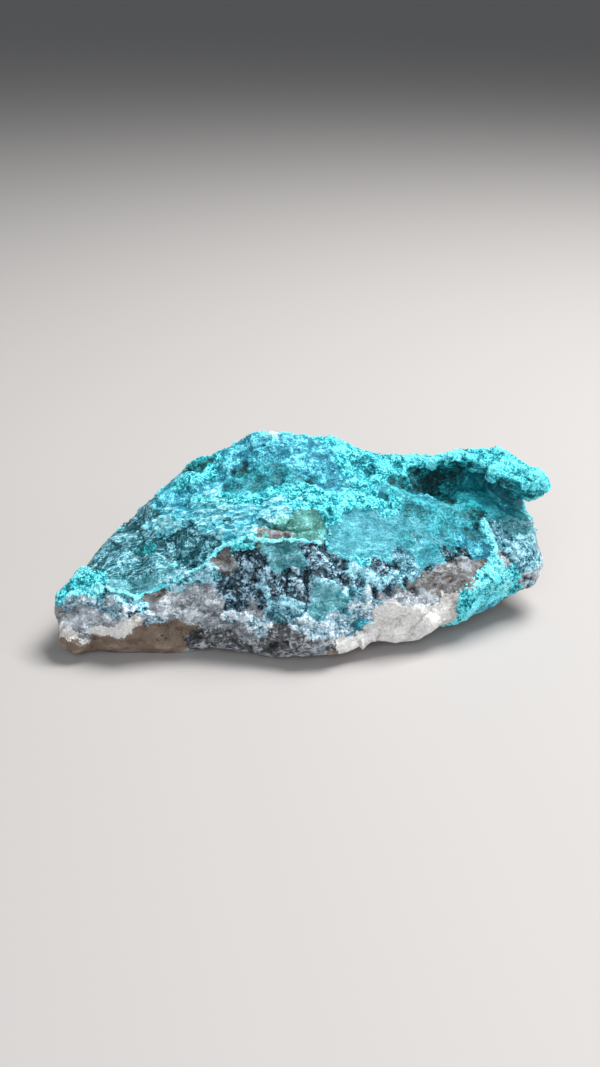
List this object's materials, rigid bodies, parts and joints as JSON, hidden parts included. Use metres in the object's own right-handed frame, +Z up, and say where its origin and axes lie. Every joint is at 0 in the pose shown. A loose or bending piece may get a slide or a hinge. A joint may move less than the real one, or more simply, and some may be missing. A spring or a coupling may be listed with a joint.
{
  "type": "chrysocolla specimen",
  "caption": "Long wedge of broken blue-green copper mineral, peaked left of its middle, with a knob over a hollow at one end and a flat sole.",
  "frame": {"origin": "middle of the lump's bounding box in X and Y, on the plane the lump stands on", "axes": "+X along the lump's length, from the low lipped tip to the end with the knobs; +Y from the crystal face towards the plain back; +Z up"},
  "size_m": [0.0678, 0.035, 0.0249],
  "materials": {
    "chrysocolla_stone": "rough blue-green copper silicate with glassy quartz"
  },
  "bodies": {
    "root": {"chrysocolla_specimen": "chrysocolla_stone"}
  },
  "joints": []
}
